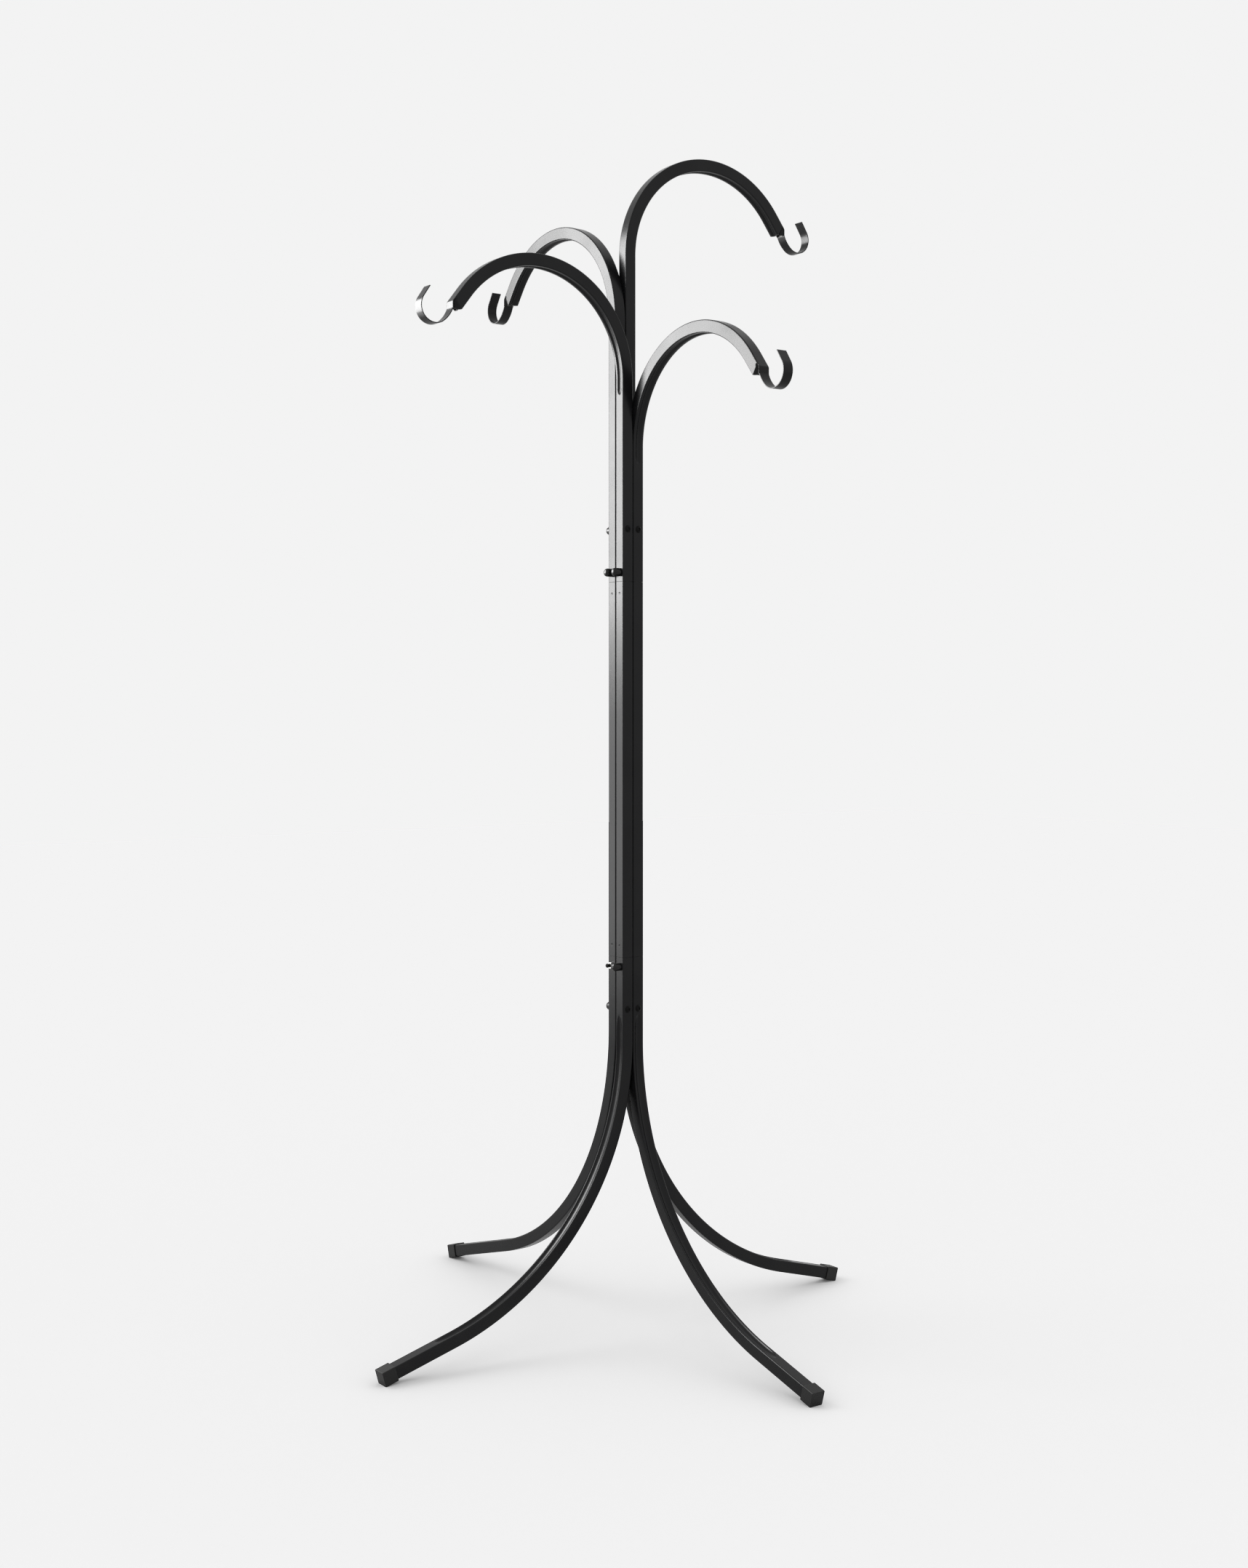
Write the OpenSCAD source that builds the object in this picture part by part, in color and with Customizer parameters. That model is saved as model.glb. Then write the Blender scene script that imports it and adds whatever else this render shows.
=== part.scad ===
// Hanging plant stand: four bent square tubes stand back to back as one pole.
// Each tube ends in an arm with a hook at the top and in a curved leg at the floor.
// Origin: on the floor, on the axis of the pole. +Z is up, the right arm points along +X.

/* [Pole] */
// Outside width of the square tube
tube_w = 20; // [16:0.5:26]
// Wall thickness of the square tube
tube_wall = 1.5; // [1:0.1:2.2]
// Outside corner radius of the tube
tube_corner_r = 1.8; // [1.6:0.1:4]
// Inside corner radius of the tube
tube_bore_r = 0.5; // [0.4:0.1:1.5]
// Gap between neighbouring tubes
tube_gap = 1; // [0.5:0.1:3]
// Length of each middle tube
post_len = 613; // [400:1:900]
// Gap left at each seam between stacked tubes
seam_gap = 0.3; // [0.2:0.1:1]

/* [Arms] */
// Bend radius of an arm, at the centre line
arm_bend_r = 169; // [140:1:220]
// Angle that an arm turns through
arm_bend_angle = 142; // [120:1:150]
// Straight end of an arm after its bend
arm_end_len = 28; // [22:1:60]
// Straight length below the bend of the back arm, the tallest
arm_rise_back = 532; // [420:1:700]
// Straight length below the bend of the left arm
arm_rise_left = 425; // [320:1:600]
// Straight length below the bend of the front arm
arm_rise_front = 326; // [220:1:500]
// Straight length below the bend of the right arm, the lowest
arm_rise_right = 217; // [130:1:400]

/* [Hooks] */
// Width of the hook's strip
hook_w = 18; // [12:0.5:19]
// Centre line radius of the kink that turns the strip in to straight down at the tube's end
hook_kink_r = 3; // [2.5:0.5:8]
// Straight stretch of the strip between its kink and its bend back out
hook_drop = 8; // [5:0.5:10]
// Centre line radius of the bend back out
hook_back_r = 5; // [3:0.5:10]
// Angle of the bend back out
hook_back_angle = 24; // [10:1:35]
// Straight stretch at each end of the strip's long, slack curve
hook_join = 2; // [1.5:0.5:4]
// Centre line radius of the strip's long, slack curve above the round bottom
hook_shank_r = 45; // [35:1:90]
// Angle that this long curve turns through
hook_shank_angle = 26; // [10:1:40]
// Centre line radius of the hook's round bottom
hook_r = 24.5; // [15:0.5:28]
// Angle that the round bottom turns through
hook_angle = 164; // [120:1:175]
// Straight tip of the hook
hook_tip = 20; // [4:0.5:26]

/* [Legs] */
// Bend radius of a leg, at the centre line
leg_bend_r = 450; // [350:1:560]
// Angle that a leg turns through
leg_bend_angle = 74.5; // [68:0.5:80]
// Straight foot end of the front, right and back legs
leg_tail = 128; // [60:1:220]
// Straight foot end of the left leg, which reaches further out
leg_tail_left = 201; // [60:1:300]
// Straight stretch of the longest leg between its seam and its bend
leg_straight = 120; // [118:1:220]

/* [Grooves] */
// Width of the groove pressed into the inside of each bend
groove_w = 10; // [5:0.5:11]
// Depth of the groove
groove_depth = 3; // [1:0.1:4]
// Length that the groove runs on past each end of the bend
groove_run = 15; // [6:1:16]

/* [Connectors] */
// Clearance between a connector and the tube around it
connector_gap = 0.1; // [0.05:0.05:0.4]
// Wall thickness of a connector
connector_wall = 1.5; // [1:0.1:2.5]
// Inside corner radius of a connector
connector_corner_r = 0.5; // [0.3:0.1:2]
// Length of a connector that sits in the middle tube
connector_in_post = 60; // [30:1:120]
// Length of a connector past its farther bolt
connector_past_bolt = 8; // [6:1:10]
// Diameter of the punched dimples that hold a connector in its middle tube
dimple_d = 4; // [2:0.1:6]
// Depth of those dimples
dimple_depth = 0.5; // [0.2:0.05:0.9]
// Distance of those dimples from the seam
dimple_drop = 19; // [8:1:40]

/* [Bolts] */
// Shank diameter of the bolts
bolt_d = 6; // [4:0.1:8]
// Clearance around a bolt in its holes, on the radius
bolt_hole_gap = 0.2; // [0.1:0.05:0.6]
// Distance of the bolts along Y from the seam
near_bolt = 15; // [9:1:40]
// Distance of the bolts along X from the seam
far_bolt = 85; // [55:1:90]
// Diameter of a button head
head_d = 11.3; // [8:0.1:13]
// Height of a button head
head_h = 3.3; // [2:0.1:5]
// Width across the flats of the hexagon socket
socket_af = 4; // [2.5:0.1:5]
// Depth of the hexagon socket
socket_depth = 2; // [1:0.1:3]
// Length of bolt past its nut
bolt_past_nut = 6; // [1:0.5:10]

/* [Nuts and caps] */
// Width across the flats of the hexagon nuts
nut_af = 10; // [8:0.1:14]
// Thickness of the hexagon nuts
nut_h = 5; // [3:0.1:7]
// Clearance of the thread in a nut, on the radius
thread_gap = 0.05; // [0.02:0.01:0.2]
// Outside diameter of a nut cap
nut_cap_d = 13.4; // [12.8:0.1:18]
// Clearance between a nut's corners and its cap, on the radius
nut_cap_gap = 0.1; // [0.05:0.05:0.4]
// Free length between the bolt's end and the closed end of its nut cap
nut_cap_air = 0.5; // [0.2:0.1:3]
// Thickness of a nut cap's closed end
nut_cap_end = 3; // [1:0.1:5]
// Rounding of a nut cap's closed end
nut_cap_round = 4; // [0.5:0.1:4.5]

/* [Foot caps] */
// Thickness of a foot cap's side wall
foot_wall = 1.6; // [1:0.1:3]
// Outside corner radius of a foot cap
foot_corner_r = 1.2; // [0.8:0.1:3]
// Thickness of a foot cap's closed end
foot_end = 3; // [1.5:0.1:6]
// Length of tube inside a foot cap
foot_grip = 20; // [12:1:40]
// Clearance between a foot cap and its tube
foot_gap = 0.1; // [0.05:0.05:0.4]
// Width of the flat worn onto a foot cap's lowest edge
foot_flat = 3; // [1:0.1:6]

/* [Hidden] */
$fn = 48;

// How far a hole's cutter runs past the face that it cuts
eps = 0.5;

// A straight stretch starts this far inside the bend that it runs out of
lap = 0.5;
// and each of its faces lies this far under the bend's face
lap_step = 0.05;

// Quarter turns from +X to the side that each arm and leg points to
RIGHT = 0;
BACK = 1;
LEFT = 2;
FRONT = 3;

// The two levels at which bolts cross the pole
UPPER = true;
LOWER = false;

// Turn from the end of an arm to straight down
hook_kink = 180 - arm_bend_angle;

half = tube_w / 2;
pitch = (tube_w + tube_gap) / 2;
bore_w = tube_w - 2 * tube_wall;
hole_d = bolt_d + 2 * bolt_hole_gap;
connector_w = bore_w - 2 * connector_gap;
connector_bore = connector_w - 2 * connector_wall;
connector_reach = far_bolt + connector_past_bolt;

// A groove is an arc of this radius, whose centre lies outside the tube's face
groove_r = (pow(groove_w / 2, 2) + pow(groove_depth, 2)) / (2 * groove_depth);
groove_x = half + groove_r - groove_depth;

// Foot cap sizes, and the height at which a leg's bend starts so that its cap stands on the floor
foot_w = tube_w + 2 * (foot_gap + foot_wall);
foot_slope = 90 - leg_bend_angle;
foot_cut = foot_flat * sin(foot_slope) * cos(foot_slope);

function leg_top(tail) = (leg_bend_r + foot_w / 2) * sin(leg_bend_angle)
    + (tail + foot_end) * cos(leg_bend_angle) - foot_cut;
function tail_of(side) = side == LEFT ? leg_tail_left : leg_tail;
function rise_of(side) = [arm_rise_right, arm_rise_back, arm_rise_left, arm_rise_front][side];

lower_seam = leg_top(max(leg_tail, leg_tail_left)) + leg_straight;
upper_seam = lower_seam + post_len + 2 * seam_gap;
leg_reach = pitch + leg_bend_r + max(leg_tail, leg_tail_left) + foot_w;

// Width over the two tubes that one bolt clamps
pair_w = 2 * tube_w + tube_gap;

black = [0.05, 0.05, 0.055];
rubber = [0.04, 0.04, 0.04];
steel = [0.62, 0.62, 0.6];

// Puts a sub-part drawn around its own tube's axis, pointing to +X, on its side of the pole
module on_side(side) {
    rotate([0, 0, 90 * side])
        translate([pitch, pitch, 0])
            children();
}

module rounded_square(width, corner_r) {
    inner = width - 2 * corner_r;
    square([width, inner], center = true);
    square([inner, width], center = true);
    for (x = [-1, 1])
        for (y = [-1, 1])
            translate([x * inner / 2, y * inner / 2])
                circle(corner_r);
}

// Wall of the tube, thinner by thin on both faces
module tube_profile(thin = 0) {
    difference() {
        rounded_square(tube_w - 2 * thin, tube_corner_r);
        rounded_square(bore_w + 2 * thin, tube_bore_r);
    }
}

// Tube profile with the pressed groove in its +X side, which is the inside of the bend
module grooved_profile(thin = 0) {
    difference() {
        rounded_square(tube_w - 2 * thin, tube_corner_r);
        translate([groove_x, 0])
            circle(groove_r + thin);
        difference() {
            rounded_square(bore_w + 2 * thin, tube_bore_r);
            translate([groove_x, 0])
                circle(groove_r + tube_wall - thin);
        }
    }
}

// Straight tube up to the start of a groove, with the groove's rounded end pressed in
module tube_up_to_groove(length, thin = 0) {
    difference() {
        union() {
            linear_extrude(length)
                tube_profile(thin);
            intersection() {
                translate([groove_x, 0, length])
                    sphere(groove_r + tube_wall - thin);
                translate([-bore_w / 2, -bore_w / 2, length - groove_r - tube_wall])
                    cube([bore_w + tube_wall / 2, bore_w, groove_r + tube_wall]);
            }
        }
        translate([groove_x, 0, length])
            sphere(groove_r + thin);
    }
}

// Sweeps a profile round a bend that starts along +Z. It turns to +X where r is positive, else to -X
module bend(r, angle) {
    translate([r, 0, 0])
        mirror([r > 0 ? 1 : 0, 0, 0])
            rotate([90, 0, 0])
                rotate_extrude(angle = angle)
                    translate([abs(r), 0])
                        mirror([r > 0 ? 1 : 0, 0])
                            children();
}

// The frame at the far end of such a bend, with +Z along the tube again
module after_bend(r, angle) {
    translate([r, 0, 0])
        rotate([0, sign(r) * angle, 0])
            translate([-r, 0, 0])
                children();
}

// Holes for the two bolts near a seam at height 0, in a piece on the given side
module bolt_holes(side) {
    rotate([0, 0, -90 * side]) {
        translate([0, 0, far_bolt])
            rotate([0, 90, 0])
                cylinder(d = hole_d, h = tube_w + 2 * eps, center = true);
        translate([0, 0, near_bolt])
            rotate([90, 0, 0])
                cylinder(d = hole_d, h = tube_w + 2 * eps, center = true);
    }
}

// A bent tube that starts at a seam at height 0, runs up by rise and bends to +X
module bent_tube(side, rise, r, angle, end_len, end_groove) {
    difference() {
        tube_up_to_groove(rise - groove_run);
        bolt_holes(side);
    }
    translate([0, 0, rise - groove_run])
        linear_extrude(groove_run)
            grooved_profile();
    translate([0, 0, rise]) {
        bend(r, angle)
            grooved_profile();
        after_bend(r, angle) {
            translate([0, 0, -lap])
                linear_extrude(end_groove + lap)
                    grooved_profile(lap_step);
            if (end_groove < end_len)
                translate([0, 0, end_len])
                    mirror([0, 0, 1])
                        tube_up_to_groove(end_len - end_groove, lap_step);
        }
    }
}

module strip_profile(thin = 0) {
    square([tube_wall - 2 * thin, hook_w - 2 * thin], center = true);
}

// Straight stretch of strip that starts inside what is before it, with the rest of the hook at its end
module strip_run(length, thin = lap_step) {
    translate([0, 0, -lap])
        linear_extrude(length + 2 * lap)
            strip_profile(thin);
    translate([0, 0, length])
        children();
}

// Bend of the strip, with the rest of the hook at its end
module strip_bend(r, angle) {
    bend(r, angle)
        strip_profile();
    after_bend(r, angle)
        children();
}

// Hook that carries on the outer wall of a tube whose end is at height 0, with its outer wall at -X
module hook() {
    translate([-half + tube_wall / 2, 0, 0])
        strip_run(0, 2 * lap_step)
            strip_bend(hook_kink_r, hook_kink)
                strip_run(hook_drop)
                    strip_bend(-hook_back_r, hook_back_angle)
                        strip_run(hook_join)
                            strip_bend(-hook_shank_r, hook_shank_angle)
                                strip_run(hook_join)
                                    strip_bend(-hook_r, hook_angle)
                                        strip_run(hook_tip - lap);
}

// The tube's two side walls, carried on past its end and cut level with the end of its inner wall
module cheeks() {
    inset = tube_wall / 2 / cos(hook_kink);
    reach = (tube_w - inset) * sin(hook_kink);
    for (y = [-1, 1])
        translate([0, y * (half - tube_wall / 2), 0])
            rotate([90, 0, 0])
                linear_extrude(tube_wall - 4 * lap_step, center = true)
                    polygon([
                        [-half + tube_corner_r, -lap],
                        [half - tube_corner_r, -lap],
                        [half - tube_corner_r, tube_corner_r * tan(hook_kink)],
                        [-half + inset + reach * sin(hook_kink), reach * cos(hook_kink)],
                        [-half + inset, 0]
                    ]);
}

module arm(side) {
    rise = rise_of(side);
    color(black)
        on_side(side)
            translate([0, 0, upper_seam]) {
                bent_tube(side, rise, arm_bend_r, arm_bend_angle, arm_end_len, arm_end_len);
                translate([0, 0, rise])
                    after_bend(arm_bend_r, arm_bend_angle)
                        translate([0, 0, arm_end_len]) {
                            cheeks();
                            translate([0, 0, -lap_step])
                                hook();
                        }
            }
}

// Punched dimples in the two sides of a middle tube that face along Y
module dimples(side, z) {
    dimple_r = (pow(dimple_d / 2, 2) + pow(dimple_depth, 2)) / (2 * dimple_depth);
    rotate([0, 0, -90 * side])
        for (y = [-1, 1])
            translate([0, y * (half + dimple_r - dimple_depth), z])
                sphere(dimple_r);
}

module post(side) {
    color(black)
        on_side(side)
            difference() {
                translate([0, 0, lower_seam + seam_gap])
                    linear_extrude(post_len)
                        tube_profile();
                dimples(side, lower_seam + seam_gap + dimple_drop);
                dimples(side, upper_seam - seam_gap - dimple_drop);
            }
}

module leg(side) {
    rise = lower_seam - leg_top(tail_of(side));
    color(black)
        on_side(side)
            translate([0, 0, lower_seam])
                mirror([0, 0, 1])
                    bent_tube(side, rise, leg_bend_r, leg_bend_angle, tail_of(side), groove_run);
}

// Square tube that joins a middle tube to the arm or leg past a seam at height 0
module connector(side) {
    difference() {
        translate([0, 0, -connector_in_post])
            linear_extrude(connector_in_post + connector_reach)
                difference() {
                    rounded_square(connector_w, tube_bore_r - connector_gap / 2);
                    rounded_square(connector_bore, connector_corner_r);
                }
        bolt_holes(side);
    }
}

module upper_connector(side) {
    color(steel)
        on_side(side)
            translate([0, 0, upper_seam])
                connector(side);
}

module lower_connector(side) {
    color(steel)
        on_side(side)
            translate([0, 0, lower_seam])
                mirror([0, 0, 1])
                    connector(side);
}

module foot_cap(side) {
    color(rubber)
        difference() {
            on_side(side)
                translate([0, 0, leg_top(tail_of(side))])
                    mirror([0, 0, 1])
                        after_bend(leg_bend_r, leg_bend_angle)
                            translate([0, 0, tail_of(side) - foot_grip])
                                difference() {
                                    linear_extrude(foot_grip + foot_end)
                                        rounded_square(foot_w, foot_corner_r);
                                    translate([0, 0, -eps])
                                        linear_extrude(foot_grip + eps)
                                            rounded_square(tube_w + 2 * foot_gap, tube_corner_r + foot_gap);
                                }
            translate([-leg_reach, -leg_reach, -foot_w])
                cube([2 * leg_reach, 2 * leg_reach, foot_w]);
        }
}

// Height of a bolt at its distance from the upper or the lower seam
function bolt_z(upper, drop) = upper ? upper_seam + drop : lower_seam - drop;

// Places a bolt or nut drawn along +Z, head side up, on the bolt axis of a row or column of tubes
module on_x_bolt(upper, y) {
    translate([0, y, bolt_z(upper, far_bolt)])
        rotate([0, 90, 0])
            children();
}

module on_y_bolt(upper, x) {
    translate([x, 0, bolt_z(upper, near_bolt)])
        rotate([-90, 0, 0])
            children();
}

// Button head bolt along +Z, with its head past the upper face of a pair of tubes
module bolt() {
    past_pair = nut_h + bolt_past_nut;
    head_r = (pow(head_d / 2, 2) + pow(head_h, 2)) / (2 * head_h);
    translate([0, 0, -pair_w / 2 - past_pair])
        cylinder(d = bolt_d, h = pair_w + past_pair + head_h / 4);
    difference() {
        intersection() {
            translate([0, 0, pair_w / 2 + head_h - head_r])
                sphere(head_r);
            translate([0, 0, pair_w / 2])
                cylinder(d = head_d, h = head_h);
        }
        translate([0, 0, pair_w / 2 + head_h - socket_depth])
            cylinder(d = socket_af / cos(30), h = socket_depth + eps, $fn = 6);
    }
}

// Hexagon nut on the lower face of a pair of tubes
module hex_nut() {
    translate([0, 0, -pair_w / 2 - nut_h])
        difference() {
            cylinder(d = nut_af / cos(30), h = nut_h, $fn = 6);
            translate([0, 0, -eps])
                cylinder(d = bolt_d + 2 * thread_gap, h = nut_h + 2 * eps);
        }
}

// Round cap pushed over a hexagon nut and the bolt's end
module nut_cap() {
    bore_depth = nut_h + bolt_past_nut + nut_cap_air;
    length = bore_depth + nut_cap_end;
    cap_r = nut_cap_d / 2;
    translate([0, 0, -pair_w / 2])
        mirror([0, 0, 1])
            rotate_extrude()
                difference() {
                    union() {
                        square([cap_r, length - nut_cap_round]);
                        square([cap_r - nut_cap_round, length]);
                        translate([cap_r - nut_cap_round, length - nut_cap_round])
                            intersection() {
                                circle(nut_cap_round);
                                square(nut_cap_round);
                            }
                    }
                    translate([-eps, -eps])
                        square([nut_af / cos(30) / 2 + nut_cap_gap + eps, bore_depth + eps]);
                }
}

module x_bolt(upper, y) {
    color(black)
        on_x_bolt(upper, y)
            bolt();
}

module y_bolt(upper, x) {
    color(black)
        on_y_bolt(upper, x)
            bolt();
}

module x_hex_nut(upper, y) {
    color(steel)
        on_x_bolt(upper, y)
            hex_nut();
}

module y_hex_nut(upper, x) {
    color(steel)
        on_y_bolt(upper, x)
            hex_nut();
}

module x_nut_cap(upper, y) {
    color(black)
        on_x_bolt(upper, y)
            nut_cap();
}

module y_nut_cap(upper, x) {
    color(black)
        on_y_bolt(upper, x)
            nut_cap();
}

arm(BACK);  // arm_back
arm(LEFT);  // arm_left
arm(FRONT);  // arm_front
arm(RIGHT);  // arm_right
post(BACK);  // post_back
post(LEFT);  // post_left
post(FRONT);  // post_front
post(RIGHT);  // post_right
leg(BACK);  // leg_back
leg(LEFT);  // leg_left
leg(FRONT);  // leg_front
leg(RIGHT);  // leg_right
upper_connector(BACK);  // upper_connector_back
upper_connector(LEFT);  // upper_connector_left
upper_connector(FRONT);  // upper_connector_front
upper_connector(RIGHT);  // upper_connector_right
lower_connector(BACK);  // lower_connector_back
lower_connector(LEFT);  // lower_connector_left
lower_connector(FRONT);  // lower_connector_front
lower_connector(RIGHT);  // lower_connector_right
foot_cap(BACK);  // foot_cap_back
foot_cap(LEFT);  // foot_cap_left
foot_cap(FRONT);  // foot_cap_front
foot_cap(RIGHT);  // foot_cap_right
x_bolt(UPPER, -pitch);  // upper_bolt_front_left
x_bolt(UPPER, pitch);  // upper_bolt_right_back
y_bolt(UPPER, -pitch);  // upper_bolt_left_back
y_bolt(UPPER, pitch);  // upper_bolt_front_right
x_bolt(LOWER, -pitch);  // lower_bolt_front_left
x_bolt(LOWER, pitch);  // lower_bolt_right_back
y_bolt(LOWER, -pitch);  // lower_bolt_left_back
y_bolt(LOWER, pitch);  // lower_bolt_front_right
x_hex_nut(UPPER, -pitch);  // upper_hex_nut_front_left
x_hex_nut(UPPER, pitch);  // upper_hex_nut_right_back
y_hex_nut(UPPER, -pitch);  // upper_hex_nut_left_back
y_hex_nut(UPPER, pitch);  // upper_hex_nut_front_right
x_hex_nut(LOWER, -pitch);  // lower_hex_nut_front_left
x_hex_nut(LOWER, pitch);  // lower_hex_nut_right_back
y_hex_nut(LOWER, -pitch);  // lower_hex_nut_left_back
y_hex_nut(LOWER, pitch);  // lower_hex_nut_front_right
x_nut_cap(UPPER, -pitch);  // upper_nut_cap_front_left
x_nut_cap(UPPER, pitch);  // upper_nut_cap_right_back
y_nut_cap(UPPER, -pitch);  // upper_nut_cap_left_back
y_nut_cap(UPPER, pitch);  // upper_nut_cap_front_right
x_nut_cap(LOWER, -pitch);  // lower_nut_cap_front_left
x_nut_cap(LOWER, pitch);  // lower_nut_cap_right_back
y_nut_cap(LOWER, pitch);  // lower_nut_cap_front_right
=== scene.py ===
import math
from functools import partial

import bmesh
import bpy
import numpy as np
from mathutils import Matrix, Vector


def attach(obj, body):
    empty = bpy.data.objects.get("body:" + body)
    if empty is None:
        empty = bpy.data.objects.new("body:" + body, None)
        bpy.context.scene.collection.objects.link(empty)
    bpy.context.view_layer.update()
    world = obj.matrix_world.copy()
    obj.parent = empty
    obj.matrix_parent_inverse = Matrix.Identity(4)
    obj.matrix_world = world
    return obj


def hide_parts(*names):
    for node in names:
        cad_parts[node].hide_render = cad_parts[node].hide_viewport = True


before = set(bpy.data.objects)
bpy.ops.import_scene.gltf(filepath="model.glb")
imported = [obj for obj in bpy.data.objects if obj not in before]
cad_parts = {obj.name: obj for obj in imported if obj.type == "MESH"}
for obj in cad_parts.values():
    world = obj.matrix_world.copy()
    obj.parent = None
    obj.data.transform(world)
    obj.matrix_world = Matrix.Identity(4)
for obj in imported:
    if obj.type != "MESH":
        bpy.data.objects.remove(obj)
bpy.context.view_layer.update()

# Sides of the pole, in quarter turns from +X
RIGHT, BACK, LEFT, FRONT = 0, 1, 2, 3
SIDE_NAMES = ["right", "back", "left", "front"]

# Sizes of the stand, in millimetres. A size that the solids have too is the same as theirs, apart from
# the legs' groove, the dimples and the nut caps' rounding.

# Square tube. A cut end is rounded by CUT_EDGE outside and chamfered by BORE_EDGE in the bore.
TUBE = 20.0
WALL = 1.5
CORNER = 1.8
BORE_CORNER = 0.5
CUT_EDGE = 0.2
BORE_EDGE = 0.25
GAP = 1.0
HALF = TUBE / 2
PITCH = (TUBE + GAP) / 2
PAIR = 2 * TUBE + GAP

# Middle tubes and the seams at their ends
POST = 613.0
SEAM = 0.3

# Arms, whose groove runs on past the bend and through the cut end
ARM_RADIUS = 169.0
ARM_ANGLE = math.radians(142)
ARM_TAIL = 28.0
ARM_GROOVE_PAST = 2 * ARM_TAIL
ARM_RISE = {RIGHT: 217.0, BACK: 532.0, LEFT: 425.0, FRONT: 326.0}

# Hook's strip, from the tube's end to its tip: a turn has a radius and degrees, and a run has a length.
# Its mesh starts HOOK_INSIDE above the tube's cut, is thicker by HOOK_PROUD on each face for
# HOOK_PROUD_RUN, and is plain from HOOK_CLEAR on.
HOOK_WIDTH = 18.0
HOOK_CORNER = 0.35
HOOK_TIP_EDGE = 0.3
HOOK_INSIDE = 1.0
HOOK_PROUD = 0.02
HOOK_PROUD_RUN = 1.5
HOOK_CLEAR = 2.2
HOOK = [("turn", 3, 38), ("run", 8), ("turn", 5, -24), ("run", 2), ("turn", 45, -26), ("run", 2),
        ("turn", 24.5, -164), ("run", 20)]

# Cut end of an arm, whose side walls are flat in the solids and have dents here. In a section, a runs from
# the outer wall at -HALF to the concave wall at HALF, and b runs across. An effect begins at its start and
# comes in over its blend.
END_RUN = 8.0
KINK_SOFT = 1.4
SIDE_START, SIDE_BLEND = 6.0, 2.5
UPRIGHT_START, UPRIGHT_BLEND = 6.0, 4.0
SWING_START, SWING_BLEND, SWING_TOP = 4.0, 4.0, 4.0
ARCH_HEIGHT, ARCH_MIDDLE, ARCH_SPREAD = 1.0, 8.0, 3.2
DENT_TOP, DENT_DEPTH, DENT_FROM_WALL = 16.0, 5.4, 0.6
DENT_HALF_TOP, DENT_HALF_GROWTH = 2.2, 5.2

# Legs
LEG_RADIUS = 450.0
LEG_ANGLE = math.radians(74.5)
LEG_TAIL = {RIGHT: 128.0, BACK: 128.0, LEFT: 201.0, FRONT: 128.0}
LEG_STRAIGHT = 120.0

# Grooves pressed into the concave walls. They start GROOVE_RUN before the bend and fade out past their
# ends, and the face's edge is left alone.
GROOVE_RUN = 15.0
GROOVE_LIP = 0.4
FACE_EDGE, FACE_BLEND = 8.0, 2.0
ARM_GROOVE = {"width": 10.0, "depth": 3.0, "fade": 10.0}
LEG_GROOVE = {"width": 15.0, "depth": 4.0, "fade": 30.0}

# Punched dimples of the middle tubes, with their distance from the tube's end
DIMPLE_D = 4.4
DIMPLE_DEPTH = 0.4
DIMPLE_DROP = 19.0

# Foot caps. Their mesh is hollow only for FOOT_MOUTH_DEPTH, since the leg fills the mouth. Its corners
# lose FOOT_CORNER_LOSS of their radius for each millimetre inwards.
FOOT_WALL = 1.6
FOOT_GAP = 0.1
FOOT_END = 3.0
FOOT_GRIP = 20.0
FOOT_FLAT = 3.0
FOOT_CORNER = 1.2
FOOT_CORNER_LOSS = 0.6
FOOT_LEAST_CORNER = 0.4
FOOT_EDGE = 0.7
FOOT_MOUTH_EDGE = 0.2
FOOT_MOUTH_DEPTH = 4.0
FOOT = TUBE + 2 * (FOOT_GAP + FOOT_WALL)
FOOT_SLOPE = math.pi / 2 - LEG_ANGLE
FOOT_CUT = FOOT_FLAT * math.sin(FOOT_SLOPE) * math.cos(FOOT_SLOPE)

# Bolts, with their distance from a seam
NEAR_BOLT = 15.0
FAR_BOLT = 85.0
BOLT_D = 6.0

# Thread: the tip widens by TIP_SLOPE until it meets the thread, whose crests and roots are cut flat by
# THREAD_FLAT, and the plain shank starts THREAD_END past it
TIP_CHAMFER = 0.6
TIP_SLOPE = 0.7
THREAD_START = 0.3
THREAD_PITCH = 1.0
THREAD_DEPTH = 0.5
THREAD_FLAT = 0.2
THREAD_END = 0.5

# Button head: its rim has (height, inset) pairs, and a low land goes round the socket's mouth
HEAD_D = 11.3
HEAD_H = 3.3
HEAD_EDGE = 0.25
HEAD_RIM = [(0.0, HEAD_EDGE), (0.08, 0.07), (HEAD_EDGE, 0.0)]
LAND_R = 3.0
LAND_RISE = 0.05
SOCKET = 4.0
SOCKET_DEPTH = 2.0
SOCKET_POINT = 0.4
MOUTH_LAND = 0.5
MOUTH_CONE = 0.4
MOUTH_STEPS = 5
MOUTH_STEP_DOWN, MOUTH_STEP_IN = 0.12, 0.11

# Hexagon nuts: a cone takes their corners off in steps, and the thread's mouth is chamfered on one side
NUT_AF = 10.0
NUT_H = 5.0
NUT_CONE = 0.1
NUT_STEPS = 5
NUT_STEP_UP, NUT_STEP_OUT = 0.13, 0.22
THREAD_GAP = 0.05
NUT_MOUTH_WIDTH, NUT_MOUTH_DEPTH = 0.45, 0.4
PAST_NUT = 6.0

# Nut caps. A small flat disc closes the bore's end and the cap's end.
CAP_D = 13.4
CAP_GAP = 0.1
CAP_AIR = 0.5
CAP_END = 3.0
CAP_ROUND = 5.5
CAP_EDGE = 0.3
CAP_MOUTH = 0.2
BORE_DISC_R = 0.5
END_DISC_R = 1.2

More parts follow.
